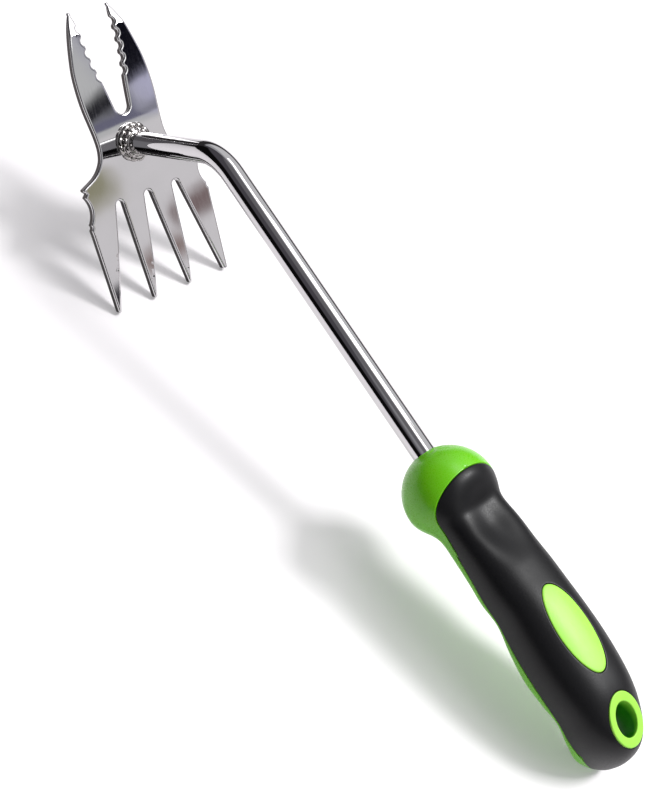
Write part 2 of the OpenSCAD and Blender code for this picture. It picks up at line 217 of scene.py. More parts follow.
def region(loops, rows, pitch, folds=()):
    """Fine triangles over a flat region. Rows of points follow its edges at the distances given,
    and others follow the folds; a staggered grid fills the rest. The first loop is the outside."""
    points = [np.concatenate(loops)]
    for loop in loops:
        lead = np.roll(loop, -1, 0) - np.roll(loop, 1, 0)
        side = np.column_stack([-lead[:, 1], lead[:, 0]]) / np.linalg.norm(lead, axis=1)[:, None]
        for row in rows:
            for step in (loop + side * row, loop - side * row):
                step = step[inside(step, loops)]
                points.append(step[to_edges(step, loops) > row * 0.93])
    if len(folds):
        extra = np.concatenate(folds)
        extra = extra[inside(extra, loops)]
        extra = extra[to_edges(extra, loops) > min(rows) * 0.9]
        points.append(extra)
    lo, hi = loops[0].min(0), loops[0].max(0)
    gx = np.arange(lo[0], hi[0] + pitch, pitch)
    gy = np.arange(lo[1], hi[1] + pitch, pitch * 0.866)
    grid = np.array([(x + (j % 2) * pitch / 2, y) for j, y in enumerate(gy) for x in gx])
    grid = grid[inside(grid, loops)]
    grid = grid[to_edges(grid, loops) > max(rows) + pitch * 0.45]
    if len(folds):
        gap = [np.sqrt(((grid[i:i + 500, None] - extra) ** 2).sum(2)).min(1)
               for i in range(0, len(grid), 500)]
        grid = grid[np.concatenate(gap) > pitch * 0.45]
    points.append(grid)
    points = np.concatenate(points)
    edges, first = [], 0
    for loop in loops:
        n = len(loop)
        edges += [(first + i, first + (i + 1) % n) for i in range(n)]
        first += n
    out = delaunay_2d_cdt([Vector(p) for p in points], edges, [], 0, 1e-6)
    points = np.array([tuple(p) for p in out[0]])
    origin = {old: new for new, olds in enumerate(out[3]) for old in olds}
    tris = np.array([t for t in out[2] if len(t) == 3])
    tris = tris[inside(points[tris].mean(1), loops)]
    rims, first = [], 0
    for loop in loops:
        rims.append([origin[first + i] for i in range(len(loop))])
        first += len(loop)
    return points, tris, to_edges(points, loops), rims


def piece(name, points, faces, side=None):
    """A smooth mesh from points in the rod's millimetres, its faces turned outwards. Side is 1 at
    the points of its sides and bores, where the materials paint shade: a painted dark reflection on the steel
    plate's sides, painted darker green in the eyelet's bore."""
    mesh = bpy.data.meshes.new(name)
    mesh.from_pydata([tuple(p) for p in placed(points)], [], [tuple(map(int, f)) for f in faces])
    if side is not None:
        mesh.attributes.new("side", "FLOAT", "POINT").data.foreach_set("value", side.astype(np.float32))
    body = bmesh.new()
    body.from_mesh(mesh)
    bmesh.ops.remove_doubles(body, verts=body.verts, dist=1e-6)
    bmesh.ops.join_triangles(body, faces=body.faces, angle_face_threshold=0.03, angle_shape_threshold=0.3)
    bmesh.ops.recalc_face_normals(body, faces=body.faces)
    body.to_mesh(mesh)
    body.free()
    mesh.shade_smooth()
    made = bpy.data.objects.new(name, mesh)
    bpy.context.scene.collection.objects.link(made)
    return made


def bands(rows, n, closed=False, first=0):
    """Four-sided faces between rings of n points each; closed joins the last ring to the first."""
    return [[first + i * n + j, first + i * n + (j + 1) % n,
             first + (i + 1) % rows * n + (j + 1) % n, first + (i + 1) % rows * n + j]
            for i in range(rows if closed else rows - 1) for j in range(n)]


def slab(name, flat, top, bottom, walls, joined=lambda points: np.zeros(len(points), bool)):
    """A closed piece on a flat region: top and bottom give a point's place, walls the parts of
    the way down at which its sides have a row of points. There is no side where it is joined."""
    points, tris, far, rims = flat
    meets = joined(points)
    upper, lower = top(points, far), bottom(points, far)
    rows = [upper, lower]
    n = len(points)
    faces = [list(t) for t in tris] + [[n + i for i in reversed(t)] for t in tris]
    count = 2 * n
    for rim in rims:
        ladder = [list(rim)]
        for w in walls:
            rows.append(upper[rim] * (1 - w) + lower[rim] * w)
            ladder.append(list(range(count, count + len(rim))))
            count += len(rim)
        ladder.append([n + i for i in rim])
        for high, low in zip(ladder, ladder[1:]):
            for i in range(len(rim)):
                j = (i + 1) % len(rim)
                if not (meets[rim[i]] and meets[rim[j]]):
                    faces.append([high[i], low[i], low[j], high[j]])
    side = np.concatenate([np.zeros(2 * n), np.ones(count - 2 * n)])
    return piece(name, np.concatenate(rows), faces, side)


def round_over(far, r):
    """How far an edge rounded to r has dropped at a distance in from it."""
    return r - np.sqrt(np.maximum(r * r - np.maximum(r - far, 0) ** 2, 0))


def from_plate(x, y, height):
    """Rod millimetres from the plate's own: x out of its flat front, height up towards the fork."""
    c, s = math.cos(BLADE_ANGLE), math.sin(BLADE_ANGLE)
    return np.column_stack([x * c - height * s - STUB_LEN * math.cos(BEND_ANGLE), y,
                            x * s + height * c - STUB_LEN * math.sin(BEND_ANGLE)])


def on_sheet(points, out):
    """A point of the flat pattern carried on to the folded sheet, out in front of its front face."""
    fold_r = (FOLD_HI - FOLD_LO) / FORK_LEAN
    height = points[:, 1]
    turn = np.clip((height - FOLD_LO) / (FOLD_HI - FOLD_LO), 0, 1) * FORK_LEAN
    rest = np.where(height < FOLD_LO, height - FOLD_LO, np.maximum(height - FOLD_HI, 0))
    x = (fold_r + out) * np.cos(turn) - fold_r - rest * np.sin(turn)
    z = FOLD_LO + (fold_r + out) * np.sin(turn) + rest * np.cos(turn)
    return from_plate(x, points[:, 0], z)


BEVEL_FROM, BEVEL_SLOPE = 51.5, math.tan(math.radians(17))
GRIND_LEN, GRIND_SLOPE = 26.0, math.tan(math.radians(38))
# the grind of each ground tine: which tine it is, and where its line starts at the tip and ends
grinds = [(k, k * TINE_PITCH - TINE_TIP_R, k * TINE_PITCH + 5 - k) for k in (-1.5, -0.5, 0.5)]


def ground_away(points):
    """Depth taken off the front face by the prongs' bevel and the tines' side grinds."""
    y, height = points[:, 0], points[:, 1]
    depth = np.maximum(height - BEVEL_FROM, 0) * BEVEL_SLOPE
    for k, tip_y, top_y in grinds:
        line = tip_y + (top_y - tip_y) * (height + RAKE_LEN) / GRIND_LEN
        near = (np.abs(y - k * TINE_PITCH) < 8) & (height < GRIND_LEN - RAKE_LEN + 1)
        depth = np.maximum(depth, np.where(near, (y - line) * GRIND_SLOPE, 0))
    return depth


def plate_front(points, far):
    return on_sheet(points, -ground_away(points) - round_over(far, EDGE_R))


def plate_back(points, far):
    return on_sheet(points, -PLATE_T + round_over(far, BACK_EDGE_R))


def beside(path, step, offsets):
    """Rows of points along a line and close beside it, so that a crease on it stays crisp."""
    path = np.asarray(path, float)
    length = np.concatenate([[0], np.cumsum(np.linalg.norm(np.diff(path, axis=0), axis=1))])
    at = np.linspace(0, length[-1], int(length[-1] / step) + 2)
    base = np.column_stack([np.interp(at, length, path[:, 0]), np.interp(at, length, path[:, 1])])
    run = np.gradient(base, axis=0)
    side = np.column_stack([-run[:, 1], run[:, 0]]) / np.linalg.norm(run, axis=1)[:, None]
    return np.concatenate([base + side * o for o in offsets])


creases = [beside([(side * 6, BEVEL_FROM), (side * 17, BEVEL_FROM)], 0.5, (-0.12, 0, 0.12))
           for side in (-1, 1)]
creases += [beside([(tip_y, -RAKE_LEN), (top_y, GRIND_LEN - RAKE_LEN)], 0.5, (-0.1, 0, 0.1))
            for _, tip_y, top_y in grinds]
plate_flat = region([both_halves(plate_half())], (0.06, 0.16, 0.3, 0.5, 0.76, 1.0), 1.5, creases)
# its side walls are marked for the steel's painted dark reflection
head_plate = slab("head_plate_polished", plate_flat, plate_front, plate_back, (0.05, 0.3, 0.7, 0.95))


def linear(colour):
    """Linear RGBA from an sRGB hex colour."""
    parts = [int(colour[i:i + 2], 16) / 255 for i in (1, 3, 5)]
    return tuple(c / 12.92 if c <= 0.04045 else ((c + 0.055) / 1.055) ** 2.4 for c in parts) + (1.0,)


def add(tree, kind, inputs=None, **settings):
    """Adds a node with its settings, and sets or links its inputs."""
    made = tree.nodes.new(kind)
    for key, value in settings.items():
        setattr(made, key, value)
    for key, value in (inputs or {}).items():
        if isinstance(value, bpy.types.NodeSocket):
            tree.links.new(value, made.inputs[key])
        else:
            made.inputs[key].default_value = value
    return made


def new_material(name):
    """An empty node material, its tree and the coordinates of the object, in metres."""
    made = bpy.data.materials.new(name)
    made.use_nodes = True
    made.node_tree.nodes.clear()
    where = add(made.node_tree, "ShaderNodeTexCoord").outputs["Object"]
    return made, made.node_tree, where


def noise(tree, where, size_mm, detail):
    """A noise value whose lumps are about that many millimetres across."""
    return add(tree, "ShaderNodeTexNoise", {"Vector": where, "Scale": 1000 / size_mm,
                                            "Detail": detail}).outputs[0]


def mixed(tree, share, low, high):
    """A colour that goes from low to high with the share."""
    return add(tree, "ShaderNodeMix", {"Factor": share, 6: low, 7: high}, data_type="RGBA").outputs[2]


def spread(tree, value, lo, hi, to_lo, to_hi):
    """The value from lo to hi spread over another range."""
    return add(tree, "ShaderNodeMapRange", {"Value": value, "From Min": lo, "From Max": hi,
                                            "To Min": to_lo, "To Max": to_hi}).outputs[0]


def finish_material(tree, shader):
    add(tree, "ShaderNodeOutputMaterial", {"Surface": shader.outputs[0]})


# Austenitic stainless steel, belt-ground and then buffed on a cloth wheel: a near mirror with a
# faint orange-peel waviness from the rolled sheet and hairline buffing scratches.
WAVE_MM, HAIR_MM = 14.0, 0.35
polished_steel, tree, where = new_material("buffed_stainless_steel")
wave = noise(tree, where, WAVE_MM, 1.0)
hair_way = add(tree, "ShaderNodeMapping", {"Vector": where, "Scale": (0.05, 1.0, 0.05)}).outputs[0]
hairs = noise(tree, hair_way, HAIR_MM, 2.0)
wavy = add(tree, "ShaderNodeBump", {"Height": wave, "Strength": 0.2, "Distance": 0.00008})
tint = mixed(tree, wave, linear("#C6C5C6"), linear("#CFCDCF"))
# The plate's side walls, marked by the side attribute, are painted a dark brown-grey: a painted dark reflection
# standing in for the shaded room that the walls would mirror.
painted_side_reflection = add(tree, "ShaderNodeAttribute", attribute_name="side").outputs["Fac"]
steel = add(tree, "ShaderNodeBsdfPrincipled", {
    "Base Color": mixed(tree, painted_side_reflection, tint, linear("#2E2928")), "Metallic": 1.0,
    "Roughness": spread(tree, hairs, 0.3, 0.75, 0.025, 0.05), "Normal": wavy.outputs[0]})
finish_material(tree, steel)
head_plate.data.materials.append(polished_steel)
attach(head_plate, "root")
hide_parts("head_plate")

# ---- Rod ----
# Stainless round bar, 10 mm through, bent once, ground smooth and buffed. Its far end is pressed
# flat in two places inside the handle, so that the plastic grips it.
ROD_R = 5.0
BEND_R = 25.0
HANDLE_X = 170.0
TANG_END = 78.0
CRIMPS = (34, 62)
CRIMP_WIDER, CRIMP_FLATTER = 0.3, 0.4
corner = BEND_R * math.tan(BEND_ANGLE / 2)


def rod_path():
    """Places along the rod's middle line and the direction of each, from the plate to the tang."""
    out = np.array([-math.cos(BEND_ANGLE), -math.sin(BEND_ANGLE)])
    rows = [(out * t, BEND_ANGLE) for t in np.linspace(STUB_LEN - 1.6, corner, 24, endpoint=False)]
    for turn in np.linspace(BEND_ANGLE, 0, 56):
        rows.append((np.array([corner - BEND_R * math.sin(turn), -BEND_R + BEND_R * math.cos(turn)]), turn))
    rows += [(np.array([x, 0.0]), 0.0) for x in np.linspace(corner, HANDLE_X + TANG_END, 120)[1:]]
    return rows


def rod_ring(place, turn, n=72):
    """One ring of the rod. A crimp squeezes it flatter and wider."""
    s = place[0] - HANDLE_X
    press = max(1 - ease(abs(s - c), 4, 6) for c in CRIMPS)
    a = np.linspace(0, 2 * math.pi, n, endpoint=False)
    side = ROD_R * (1 + CRIMP_WIDER * press) * np.cos(a)
    up = ROD_R * (1 - CRIMP_FLATTER * press) * np.sin(a)
    return np.column_stack([place[0] - up * math.sin(turn), side, place[1] + up * math.cos(turn)])


def tube(name, rings):
    """A closed tube through equal rings, with a flat end on each."""
    n = len(rings[0])
    faces = bands(len(rings), n)
    faces += [list(range(n)), [(len(rings) - 1) * n + j for j in range(n)]]
    return piece(name, np.concatenate(rings), faces)


rod_rings = [rod_ring(place, turn) for place, turn in rod_path()]
end_ring = rod_rings[-1].copy()
end_ring[:, 1:] *= 0.9
rod = tube("bent_rod", rod_rings + [end_ring])
rod.data.materials.append(polished_steel)
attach(rod, "root")
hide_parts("rod")

# ---- Weld bead ----
# A hand-laid TIG bead round the foot of the rod, in two passes: one against the plate and one
# against the rod, each a row of overlapping ripples. It was buffed over with the rest.
# each pass: its name, ring radius, height up the stub, ripple size, number of ripples, seed
BEAD_POINTS = 96
BEAD = (("plate", 7.6, 0.7, 1.4, 13, 3), ("rod", 5.9, 2.7, 1.25, 11, 8))
weld_spot = from_plate(np.zeros(1), np.zeros(1), np.zeros(1))[0]
stub_axis = np.array([math.cos(BEND_ANGLE), 0, math.sin(BEND_ANGLE)])


def bead_ring(r, height):
    """A ring square to the stub, that far up it from the plate."""
    a = np.linspace(0, 2 * math.pi, BEAD_POINTS, endpoint=False)
    up = np.array([-stub_axis[2], 0, stub_axis[0]])
    return (weld_spot + stub_axis * height
            + r * (np.outer(np.cos(a), [0, 1, 0]) + np.outer(np.sin(a), up)))


# the smooth root under the ripples: radius, and height up the stub
bead_profile = [(4.8, -0.8), (8.6, -0.8), (8.7, 0.1), (8.2, 0.8), (7.2, 1.5), (6.4, 2.6), (5.8, 3.7),
                (5.0, 4.2), (4.8, 3.9)]
bead_rows = [bead_ring(r, height) for r, height in bead_profile]
bead_faces = bands(len(bead_rows), BEAD_POINTS, closed=True)
bead_root = piece("bead_root", np.concatenate(bead_rows), bead_faces)

ripples = bpy.data.node_groups.new("weld_ripples", "GeometryNodeTree")
for label, kind in (("Geometry", "Geometry"), ("Ring radius", "Float"), ("Height", "Float"),
                    ("Ripple size", "Float"), ("Ripples", "Int"), ("Seed", "Int"), ("Turn", "Rotation"),
                    ("Foot", "Vector"), ("Finish", "Material")):
    ripples.interface.new_socket(label, in_out="INPUT", socket_type="NodeSocket" + kind)
ripples.interface.new_socket("Geometry", in_out="OUTPUT", socket_type="NodeSocketGeometry")
given = add(ripples, "NodeGroupInput").outputs
hoop = add(ripples, "GeometryNodeCurvePrimitiveCircle", {"Resolution": 128, "Radius": given["Ring radius"]})
dots = add(ripples, "GeometryNodeCurveToPoints", {"Curve": hoop.outputs[0], "Count": given["Ripples"]},
           mode="COUNT")
drop = add(ripples, "GeometryNodeMeshIcoSphere", {"Radius": given["Ripple size"], "Subdivisions": 4})
sizes = add(ripples, "FunctionNodeRandomValue", {"Min": (0.85, 0.85, 1.5), "Max": (1.1, 1.1, 2.1),
                                                "Seed": given["Seed"]}, data_type="FLOAT_VECTOR")
lean = add(ripples, "FunctionNodeRandomValue", {"Min": (-0.2, -0.1, -0.25), "Max": (0.2, 0.3, 0.25),
                                               "Seed": given["Seed"]}, data_type="FLOAT_VECTOR")
leaned = add(ripples, "FunctionNodeRotateRotation", {0: dots.outputs["Rotation"], 1: lean.outputs[0]},
             rotation_space="LOCAL")
laid = add(ripples, "GeometryNodeInstanceOnPoints", {
    "Points": dots.outputs[0], "Instance": drop.outputs[0], "Rotation": leaned.outputs[0],
    "Scale": sizes.outputs[0]})
lift = add(ripples, "ShaderNodeCombineXYZ", {"Z": given["Height"]})
raised = add(ripples, "GeometryNodeTransform", {"Geometry": laid.outputs[0], "Translation": lift.outputs[0]})
turned = add(ripples, "GeometryNodeTransform", {"Geometry": raised.outputs[0], "Translation": given["Foot"],
                                                "Rotation": given["Turn"]})
real = add(ripples, "GeometryNodeRealizeInstances", {"Geometry": turned.outputs[0]})
smooth = add(ripples, "GeometryNodeSetShadeSmooth", {"Geometry": real.outputs[0]})
coated = add(ripples, "GeometryNodeSetMaterial", {"Geometry": smooth.outputs[0], "Material": given["Finish"]})
add(ripples, "NodeGroupOutput", {"Geometry": coated.outputs[0]})

# The same stainless steel as filler wire: buffed only on its crests, so its valleys stay grey
# with a trace of heat tint.
RIPPLE_MM = 1.2
weld_steel, tree, where = new_material("buffed_weld_bead")
grain = noise(tree, where, RIPPLE_MM, 3.0)
pitted = add(tree, "ShaderNodeBump", {"Height": grain, "Strength": 0.35, "Distance": 0.00015})
shader = add(tree, "ShaderNodeBsdfPrincipled", {
    "Base Color": mixed(tree, grain, linear("#6E6863"), linear("#C4C2C2")), "Metallic": 1.0,
    "Roughness": spread(tree, grain, 0.35, 0.7, 0.2, 0.07), "Normal": pitted.outputs[0]})
finish_material(tree, shader)
weld_turn = Vector(stub_axis @ tool_axes).to_track_quat("Z", "Y").to_euler()
bead_parts = [bead_root]
for label, ring, height, size, count, seed in BEAD:
    holder = bpy.data.objects.new("bead_" + label, bpy.data.meshes.new("bead_" + label))
    bpy.context.scene.collection.objects.link(holder)
    modifier = holder.modifiers.new("ripples", "NODES")
    modifier.node_group = ripples
    values = {"Ring radius": ring / 1000, "Height": height / 1000, "Ripple size": size / 1000,
              "Ripples": count, "Seed": seed, "Turn": weld_turn, "Foot": placed(weld_spot),
              "Finish": weld_steel}
    for socket in ripples.interface.items_tree:
        if socket.in_out == "INPUT" and socket.name in values:
            modifier[socket.identifier] = values[socket.name]
    depsgraph = bpy.context.evaluated_depsgraph_get()
    baked = bpy.data.meshes.new_from_object(holder.evaluated_get(depsgraph))
    holder.modifiers.clear()
    holder.data = baked
    bead_parts.append(holder)
bead_root.data.materials.append(weld_steel)
for part, name in zip(bead_parts, ("weld_root", "weld_ripples_on_plate", "weld_ripples_on_rod")):
    part.name = name
    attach(part, "root")
    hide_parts("weld_bead")

# ---- Tang core ----
# The first shot of the handle: a ribbed insert of black nylon moulded round the crimped tang.
# The outer shots hide it, so its CAD shape stays.
FLOW_MM = 2.5
core_plastic, tree, where = new_material("black_nylon")
tone = mixed(tree, noise(tree, where, FLOW_MM, 2.0), linear("#202024"), linear("#2C2C30"))
shader = add(tree, "ShaderNodeBsdfPrincipled", {"Base Color": tone, "Roughness": 0.5, "IOR": 1.53})
finish_material(tree, shader)
core = frame["nodes"]["tang_core"]
for slot in core.material_slots:
    slot.material = core_plastic

# ---- Handle body ----
# The second shot: hard lime polypropylene, a ball at the front that stops the hand, a keel below
# and a heel at the tail. Its upper side is sunk to take the soft cover.
BULB_R, BULB_DROP = 19.3, -0.4
COVER_T = 2.4
DISH_DEPTH = 4.5
TAIL_X, TAIL_FROM = 121.7, 100.0
TAIL_POWERS = (6, 1.8, 5)  # of the top, the sides and the bottom
TOP_POWER, BELLY_POWER = 2.6, 2.15
BLEND, BULB_FALL = 0.28, 14.8
COVER_FROM = -4.0
ARCH_END = 22.0
# behind the bulb's centre: top, height of the widest point, bottom, half width
sections = np.array([
    (-5, 10, 0, -10, 12), (8, 14.4, 0.4, -9.1, 14.1), (20, 15.6, 1.6, -9.5, 15.4),
    (33, 16, 2, -10.3, 15.8), (42, 16.8, 2, -10.7, 16.3), (52, 17.8, 2.2, -9.3, 16.2),
    (63, 18, 0.4, -12, 17.2), (75, 17.6, -0.7, -14.6, 17.8), (86, 16.9, -0.8, -14, 17.3),
    (95, 15.8, -1.5, -12.6, 16.4), (104, 13.2, -5.2, -17, 15.8), (112, 11, -10, -22.4, 15),
    (122, 7.5, -12, -24, 12)])
parting = np.array([(20, 1.9), (50, -0.5), (80, -1.5), (95, -4), (110, -9), (116, -15), (122, -25)])


def reach(s, size):
    """The bulb and the grip behind it, run smoothly into each other."""
    bulb = np.where(s < 0, np.sqrt(np.maximum(BULB_R**2 - s * s, 0)),
                    BULB_R * np.exp(-((np.maximum(s, 0) / BULB_FALL) ** 2.25)))
    blend = np.maximum(bulb, size) + np.log1p(np.exp(-BLEND * np.abs(bulb - size))) / BLEND
    return bulb + (blend - bulb) * ease(s, 0, 8)


# how the handle runs at s behind the bulb's centre: its middle line's height, its reach up, down
# and to each side, and the share of that reach that its tail keeps
def middle(s):
    return BULB_DROP + (curve(s, sections, 2) - BULB_DROP) * ease(s, 0, 14)


def up(s):
    return reach(s, curve(s, sections, 1) - curve(s, sections, 2))


def down(s):
    return reach(s, curve(s, sections, 2) - curve(s, sections, 3))


def half(s):
    return reach(s, curve(s, sections, 4))


def tail(s, power):
    return np.sqrt(np.maximum(1 - np.clip((s - TAIL_FROM) / (TAIL_X - TAIL_FROM), 0, 1) ** power, 0))


def dish(s, y):
    """The hollow for the thumb, wide at the bulb and narrower behind it."""
    wide = 11 - 3 * ease(s, 8, 28)
    return DISH_DEPTH * ease(s, -3, 11) * (1 - ease(s, 18, 38)) * np.exp(-((y / wide) ** 2))


def skin(s, a, depth=0.0):
    """A point of the handle's surface, at angle a from its top, sunk by depth."""
    p = 2 + (np.where(np.abs(a) < 90, TOP_POWER, BELLY_POWER) - 2) * ease(s, 0, 20)
    c, n = np.cos(np.radians(a)), np.sin(np.radians(a))
    n = np.sign(n) * np.abs(n) ** (2 / p)
    m = np.sign(c) * np.abs(c) ** (2 / p)
    y0 = half(s) * n
    z0 = np.where(c > 0, up(s), down(s)) * m
    k = 1 - depth / np.maximum(np.hypot(y0, z0), 1)
    y = k * y0 * tail(s, TAIL_POWERS[1])
    z = k * z0 * np.where(c > 0, tail(s, TAIL_POWERS[0]), tail(s, TAIL_POWERS[2]))
    back = depth * np.clip((s - TAIL_FROM) / (TAIL_X - TAIL_FROM), 0, 1) ** 2
    return np.column_stack([HANDLE_X + s - back, y, middle(s) + z - np.where(c > 0, dish(s, y), 0)])


def cover_edge(s):
    """Angle from the top at which the soft cover ends: an arch at the front, then the parting line."""
    x = np.clip((s - COVER_FROM) / (ARCH_END - COVER_FROM), 0, 1)
    arch = 88 * np.sqrt(1 - (1 - x) ** 2)
    h = curve(s, parting) - middle(s)
    above = h / (up(s) * tail(s, TAIL_POWERS[0]) + 1e-9)
    below = -h / (down(s) * tail(s, TAIL_POWERS[2]) + 1e-9)
    over = np.degrees(np.arccos(np.clip(above, 0, 1) ** (TOP_POWER / 2)))
    under = 180 - np.degrees(np.arccos(np.clip(below, 0, 1) ** (BELLY_POWER / 2)))
    line = np.clip(np.where(h > 0, over, under), 60, 178)
    return np.where(s < COVER_FROM, 0, np.where(s < ARCH_END, arch, line))


# The handle is laid out flat: v is the length along its crown, w the angle times the girth there.
FLAT_GIRTH = 16.5
crown_s = np.concatenate([-BULB_R * np.cos(np.linspace(0, math.pi / 2, 120)), np.linspace(0.05, 99, 400),
                          TAIL_X - (TAIL_X - 99.1) * (1 - np.linspace(0, 1, 400)) ** 3])
crown = skin(crown_s, np.zeros(len(crown_s)))
crown_v = np.concatenate([[0], np.cumsum(np.linalg.norm(np.diff(crown, axis=0), axis=1))])


def s_at(v):
    return np.interp(v, crown_v, crown_s)


def v_at(s):
    return np.interp(s, crown_s, crown_v)


def girth(v):
    """Millimetres of w to a radian at v, shrinking to nothing at both ends of the handle."""
    lead = np.clip(np.minimum(v, crown_v[-1] - v) / FLAT_GIRTH, 0, math.pi / 2)
    return FLAT_GIRTH * np.sin(lead)


def laid_flat(s, a):
    v = v_at(s)
    return np.column_stack([v, np.radians(a) * girth(v)])


def angle_of(points):
    return np.degrees(points[:, 1] / np.maximum(girth(points[:, 0]), 1e-9))


def angle_out(s, y, power=TOP_POWER):
    """Angle from the top of the point of the upper surface that is y to one side. With the belly's
    power, it's the angle from the bottom of such a point of the underside."""
    wide = half(s) * tail(s, TAIL_POWERS[1])
    return np.degrees(np.arcsin(np.clip(np.abs(y) / wide, 0, 1) ** (power / 2))) * np.sign(y)


def ellipse(length, width, n=96):
    """Plan of an oval, as distances behind its centre and to one side."""
    a = np.linspace(0, 2 * math.pi, n, endpoint=False)
    return np.column_stack([length / 2 * np.cos(a), width / 2 * np.sin(a)])


HOLE_S, HOLE_L, HOLE_W = 106.0, 13.5, 10.0
BARREL_WALL, BARREL_FOOT = 1.4, -9.0
hole = ellipse(HOLE_L, HOLE_W)
seat_hole = ellipse(HOLE_L + 2 * BARREL_WALL, HOLE_W + 2 * BARREL_WALL)


def over_layout(plan, s):
    """A plan outline centred at s, carried up on to the flat layout of the upper side."""
    return laid_flat(s + plan[:, 0], angle_out(s + plan[:, 0], plan[:, 1]))


def cover_line(inset=0.0):
    """Right half of the cover's edge on the flat layout, from the front of its arch to the point
    where both halves meet under the heel, moved in from the edge by inset."""
    s = np.concatenate([COVER_FROM + (ARCH_END - COVER_FROM) * np.linspace(0, 1, 44)[:-1] ** 2,
                        np.arange(ARCH_END, 112, 0.9), np.arange(112, TAIL_X - 0.6, 0.12)])
    a = cover_edge(s)
    end = int(np.argmax(a > 179.9)) or len(s)
    line = laid_flat(s[:end], a[:end])
    lead = np.gradient(line, axis=0)
    side = np.column_stack([lead[:, 1], -lead[:, 0]]) / np.linalg.norm(lead, axis=1)[:, None]
    line = line + side * inset
    line[0] = [line[0, 0], 0]
    return line


def body_angle(points):
    """The body is opened along its crown, so its layout's middle line is the keel."""
    b = angle_of(points)
    return np.where(b < 0, b + 180, b - 180)


BODY_EDGE_R, HOLE_EDGE_R = 0.35, 0.8
cover_rim = cover_line()
half_turn = math.pi * girth(cover_rim[:, 0])
rim_left = np.column_stack([cover_rim[:, 0], cover_rim[:, 1] - half_turn])
rim_right = rim_left * [1, -1]
rim_paths = [np.concatenate([path, path[::-1]]) for path in (rim_left, rim_right)]
rim_paths.append(np.array([rim_left[-1], rim_right[-1], rim_right[-1] + 1e-6]))


def body_depth(points):
    """How far the body is sunk: a small round at the cover's edge, then the seat of the cover."""
    s = s_at(points[:, 0])
    under_cover = (np.abs(body_angle(points)) < cover_edge(s) - 1e-6) & (s > COVER_FROM)
    gap = np.minimum.reduce([to_edges(points, [path]) for path in rim_paths])
    t = np.where(under_cover, gap, -gap)
    seat = BODY_EDGE_R + (COVER_T - BODY_EDGE_R) * np.clip(t / 0.12, 0, 1)
    return np.where(t < 0, round_over(-t, BODY_EDGE_R), seat)


upper_hole = over_layout(seat_hole, HOLE_S)[:len(seat_hole) // 2 + 1][::-1]
notch = np.column_stack([upper_hole[:, 0], upper_hole[:, 1] - math.pi * girth(upper_hole[:, 0])])
v_front = np.concatenate([[0.02], np.arange(1.2, notch[0, 0] - 0.5, 1.2)])
v_back = np.arange(notch[-1, 0] + 0.6, crown_v[-1] - 0.3, 1.0)
opened = np.concatenate([np.column_stack([v_front, -math.pi * girth(v_front)]), notch,
                         np.column_stack([v_back, -math.pi * girth(v_back)]), [[crown_v[-1] - 0.01, 0]]])
body_outline = np.concatenate([opened, opened[-2::-1] * [1, -1]])
lower_hole = laid_flat(HOLE_S + hole[:, 0], -angle_out(HOLE_S + hole[:, 0], hole[:, 1], BELLY_POWER))
seat_rows = [beside(path[:len(cover_rim)], 0.6, (-0.5, -0.34, -0.2, -0.08, 0.02, 0.14, 0.5))
             for path in (rim_left, rim_right)]
points, tris, _, _ = region([body_outline, lower_hole], (0.15, 0.4, 0.8), 1.5, seat_rows)
lip = to_edges(points, [lower_hole])
depth = np.maximum(body_depth(points), round_over(lip, HOLE_EDGE_R))
shell = skin(s_at(points[:, 0]), body_angle(points), depth)


def plan_ring(plan, z):
    return np.column_stack([HANDLE_X + HOLE_S + plan[:, 0], plan[:, 1], np.full(len(plan), z)])


# the hole's wall: from the seat of the eyelet down, in to the bore, and out at the keel
mouth = np.concatenate([notch[::-1], notch[1:-1] * [1, -1]])
hole_rows = [skin(s_at(mouth[:, 0]), body_angle(mouth), body_depth(mouth)),
             plan_ring(seat_hole, BARREL_FOOT), plan_ring(hole, BARREL_FOOT),
             skin(s_at(lower_hole[:, 0]), body_angle(lower_hole), np.full(len(lower_hole), HOLE_EDGE_R))]
wall = bands(len(hole_rows), len(hole), first=len(shell))
handle_body = piece("handle_body_lime", np.concatenate([shell] + hole_rows), [list(t) for t in tris] + wall)

# Hard polypropylene from a lightly textured mould, coloured through: a satin skin whose fine
# grain breaks the highlights up, a little paler where it's rubbed.
SKIN_MM, CLOUD_MM = 0.5, 18.0


def polypropylene(name, shade, pale, painted_bore_shade, rough):
    """The plastic in one shade, a paler one where it's rubbed, and a darker one painted inside its bores as
    painted shade.
    """
    made, tree, where = new_material(name)
    cloud, grain = noise(tree, where, CLOUD_MM, 2.0), noise(tree, where, SKIN_MM, 2.0)
    tone = mixed(tree, cloud, linear(shade), linear(pale))
    # where the side attribute marks a bore, the darker colour is painted shade
    bore_shade_mask = add(tree, "ShaderNodeAttribute", attribute_name="side").outputs["Fac"]
    satin = spread(tree, grain, 0.3, 0.7, rough, rough + 0.1)
    skin_bump = add(tree, "ShaderNodeBump", {"Height": grain, "Strength": 0.2, "Distance": 0.00004})
    shader = add(tree, "ShaderNodeBsdfPrincipled", {
        "Base Color": mixed(tree, bore_shade_mask, tone, linear(painted_bore_shade)), "Roughness": satin,
        "Normal": skin_bump.outputs[0], "IOR": 1.49, "Specular IOR Level": 0.45,
        "Subsurface Weight": 0.12, "Subsurface Scale": 0.0015})
    finish_material(tree, shader)
    return made


# each lime's third colour is painted shade for the inside of bores; this body has no bore marked
lime_plastic = polypropylene("lime_polypropylene", "#64B80F", "#6DC218", "#3C8C06", 0.24)
handle_body.data.materials.append(lime_plastic)
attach(handle_body, "root")
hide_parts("handle_body")

